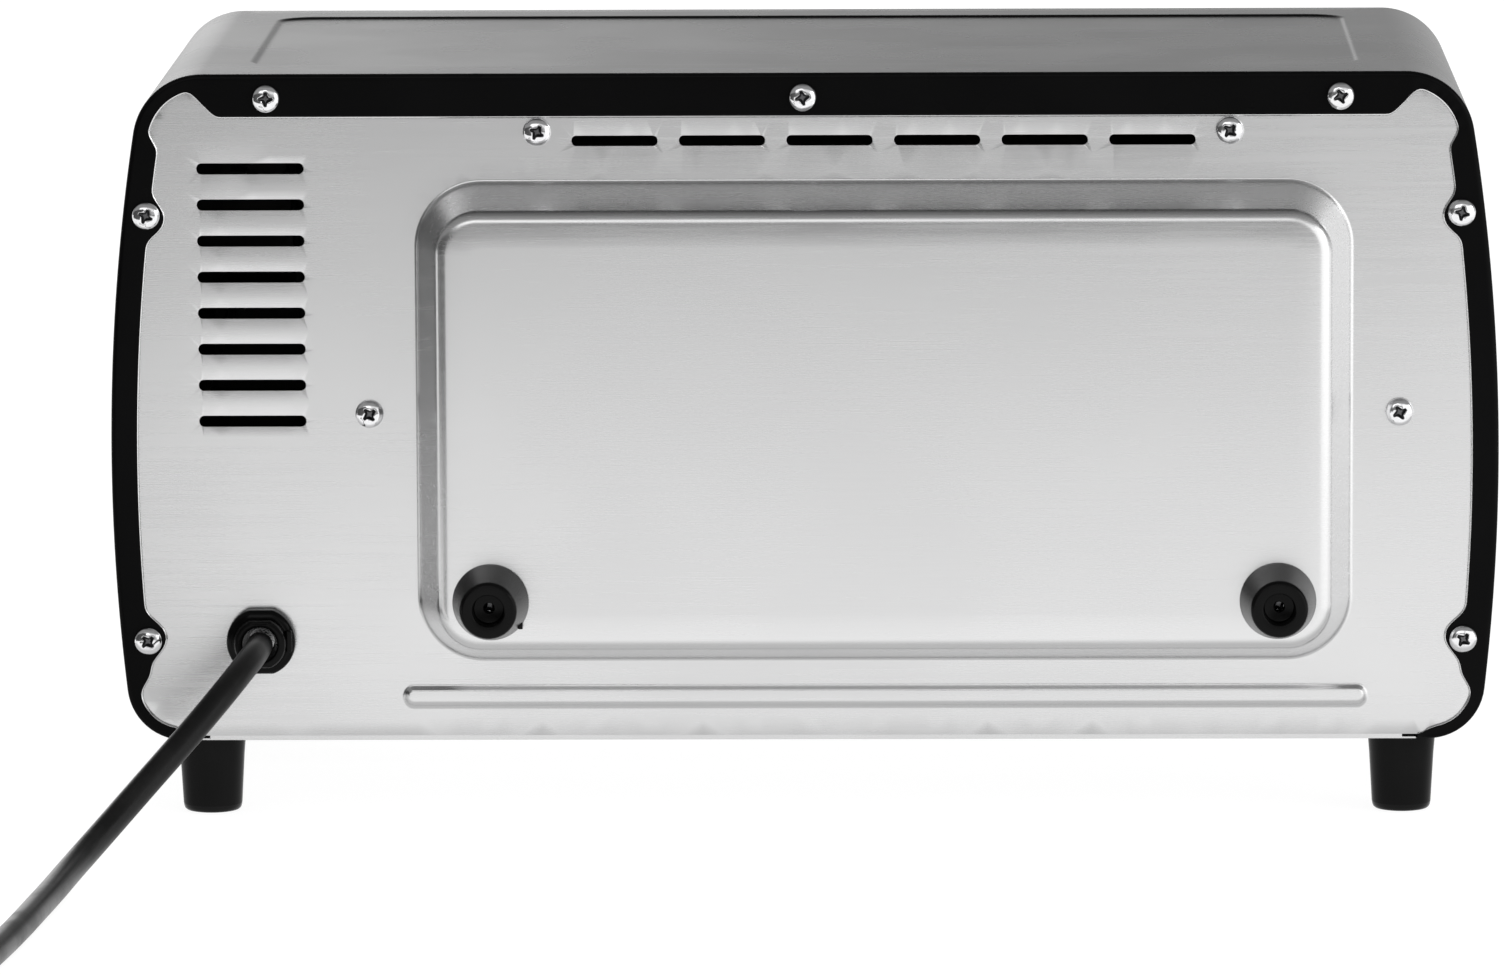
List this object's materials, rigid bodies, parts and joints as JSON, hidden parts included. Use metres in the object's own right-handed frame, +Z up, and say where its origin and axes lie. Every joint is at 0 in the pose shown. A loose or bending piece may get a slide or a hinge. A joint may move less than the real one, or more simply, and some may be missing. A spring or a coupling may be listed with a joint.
{
  "type": "toaster oven",
  "caption": "Compact countertop toaster oven: bulging black cover, bare steel back with wall bumpers, drop-down glass door, dial controls, wire rack, crumb tray and mains lead.",
  "frame": {"origin": "on the table at the centre of the footprint, measured without the mains lead", "axes": "+Z up, the door faces -Y, the back panel faces +Y, the controls are at +X"},
  "size_m": [0.5084, 0.5253, 0.211],
  "materials": {
    "cover_paint": "gloss black paint",
    "door_enamel": "satin black enamel",
    "bare_steel": "fine brushed, uncoated",
    "chamber_steel": "aluminised steel, dull",
    "zinc_screw": "bright zinc",
    "bright_chrome": "polished",
    "fascia_plastic": "semi-gloss",
    "knob_plastic": "semi-gloss",
    "foot_plastic": "satin moulded",
    "cord_rubber": "semi-matt PVC",
    "tie_plastic": "woven strap",
    "pin_brass": "bright",
    "window_glass": "clear toughened",
    "lens_red": "clear tinted",
    "ceramic": "glazed",
    "switch_plastic": "moulded",
    "wire_sleeve": "braided sleeve",
    "heater_metal": "heat-tinted sheath"
  },
  "bodies": {
    "housing": {"wrap_cover": "cover_paint", "back_panel": "bare_steel", "base_panel": "bare_steel", "front_frame": "cover_paint", "control_panel": "fascia_plastic", "knob_trim_rings": "bright_chrome", "cavity_wall_left": "chamber_steel", "cavity_wall_right": "chamber_steel", "cavity_roof": "chamber_steel", "heater_insulators": "ceramic", "rack_rails": "chamber_steel", "tray_runners": "chamber_steel", "heat_shield": "bare_steel", "thermostat": "switch_plastic", "function_switch": "switch_plastic", "timer": "switch_plastic", "timer_bell": "zinc_screw", "indicator_lamp": "switch_plastic", "indicator_lens": "lens_red", "terminal_block": "ceramic", "thermal_fuse": "switch_plastic", "internal_wires": "wire_sleeve", "rear_flange_screws": "zinc_screw", "back_panel_screws": "zinc_screw", "bumper_screws": "zinc_screw", "foot_screws": "zinc_screw", "cord_gland": "cord_rubber", "power_cord": "cord_rubber", "cord_coil": "cord_rubber", "cord_tie": "tie_plastic", "plug_body": "cord_rubber", "plug_pins": "pin_brass", "hinge_brackets": "bare_steel", "hinge_pins": "zinc_screw", "door_springs": "zinc_screw", "wall_bumper_left": "foot_plastic", "wall_bumper_right": "foot_plastic", "foot_front_left": "foot_plastic", "foot_front_right": "foot_plastic", "foot_rear_left": "foot_plastic", "foot_rear_right": "foot_plastic", "heater_top_front": "heater_metal", "heater_top_rear": "heater_metal", "heater_bottom_front": "heater_metal", "heater_bottom_rear": "heater_metal"},
    "door": {"door_frame": "door_enamel", "door_glass": "window_glass", "glass_clips": "chamber_steel", "door_arms": "chamber_steel", "handle_posts": "knob_plastic", "handle_bar": "bright_chrome", "handle_screws": "zinc_screw"},
    "wire_rack": {"wire_rack": "bright_chrome"},
    "crumb_tray": {"crumb_tray": "chamber_steel"},
    "temperature_knob": {"temperature_knob": "knob_plastic", "temperature_shaft": "zinc_screw"},
    "function_knob": {"function_knob": "knob_plastic", "function_shaft": "zinc_screw"},
    "timer_knob": {"timer_knob": "knob_plastic", "timer_shaft": "zinc_screw"}
  },
  "joints": [
    {"name": "door_hinge", "type": "hinge", "parent": "housing", "child": "door", "pos_m": [-0.0225, -0.0955, 0.047], "axis": [1, 0, 0], "range_deg": [0, 90], "deforming": ["door_springs"]},
    {"name": "rack_slide", "type": "slide", "parent": "housing", "child": "wire_rack", "axis": [0, -1, 0], "range_m": [0, 0.07]},
    {"name": "tray_slide", "type": "slide", "parent": "housing", "child": "crumb_tray", "axis": [0, -1, 0], "range_m": [0, 0.095]},
    {"name": "temperature_turn", "type": "hinge", "parent": "housing", "child": "temperature_knob", "pos_m": [0.161, -0.1, 0.166], "axis": [0, 1, 0], "range_deg": [0, 270]},
    {"name": "function_turn", "type": "hinge", "parent": "housing", "child": "function_knob", "pos_m": [0.161, -0.1, 0.116], "axis": [0, 1, 0], "range_deg": [0, 180]},
    {"name": "timer_turn", "type": "hinge", "parent": "housing", "child": "timer_knob", "pos_m": [0.161, -0.1, 0.066], "axis": [0, 1, 0], "range_deg": [0, 300]}
  ],
  "couplings": [
    {"joint": "rack_slide", "follows": "door_hinge", "m_per_rad": 0.0445}
  ]
}
